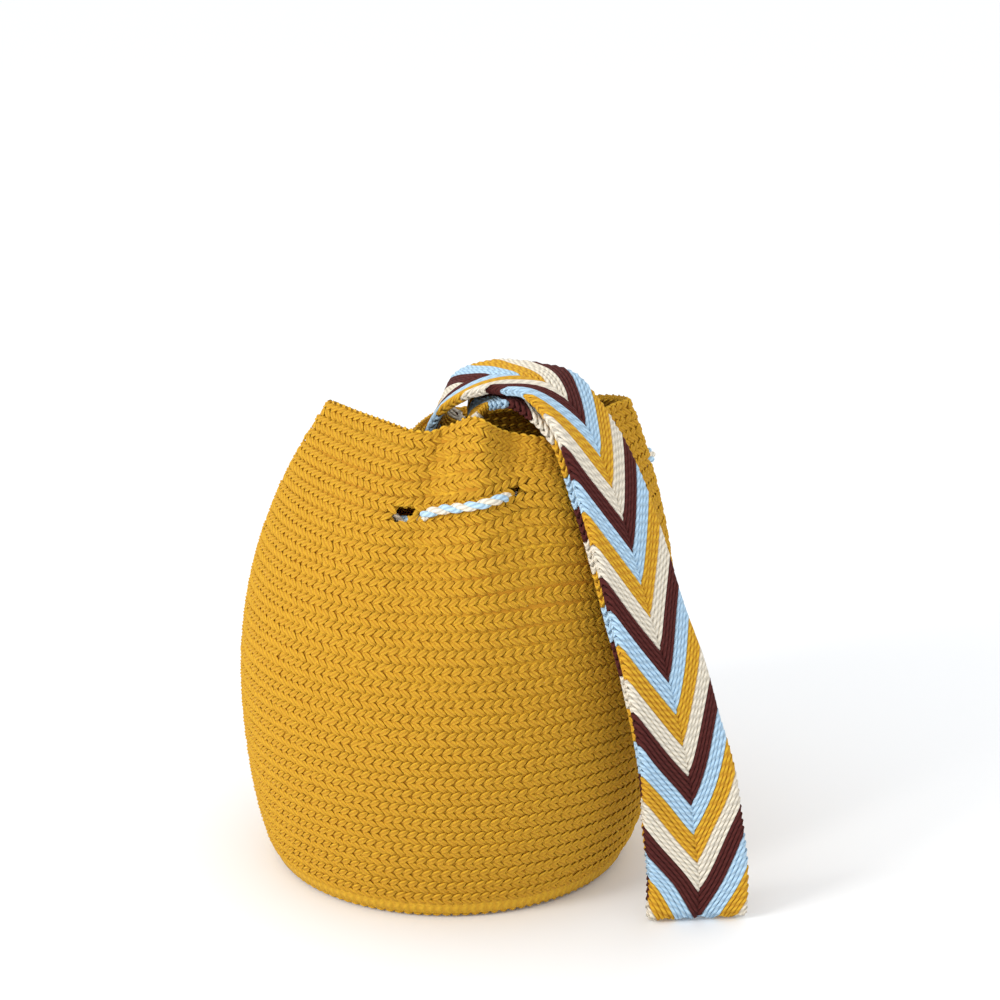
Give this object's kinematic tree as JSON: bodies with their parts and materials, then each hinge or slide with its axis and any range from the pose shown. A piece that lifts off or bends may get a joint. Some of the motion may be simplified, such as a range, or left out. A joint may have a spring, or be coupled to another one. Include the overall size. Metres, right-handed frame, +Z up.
{
  "type": "wayuu mochila bag",
  "caption": "Round crochet mochila bag in mustard with a laced drawstring and one wide woven chevron shoulder strap.",
  "frame": {"origin": "centre of the underside of the round base", "axes": "+Z up through the bag, front of the bag towards -Y, +X to the bag's right"},
  "size_m": [0.2985, 0.2793, 0.3035],
  "materials": {
    "mustard_crochet": "mustard cotton crochet, matt",
    "woven_band": "twisted cotton strands in cream, maroon, light blue and mustard chevrons, matt",
    "twisted_cord": "twisted light blue and cream cotton cord, matt"
  },
  "bodies": {
    "root": {"bag_body": "mustard_crochet", "strap": "woven_band", "drawstring": "twisted_cord", "drawstring_tail_left": "twisted_cord", "drawstring_tail_right": "twisted_cord", "drawstring_knot_left": "twisted_cord", "drawstring_knot_right": "twisted_cord"}
  },
  "joints": []
}
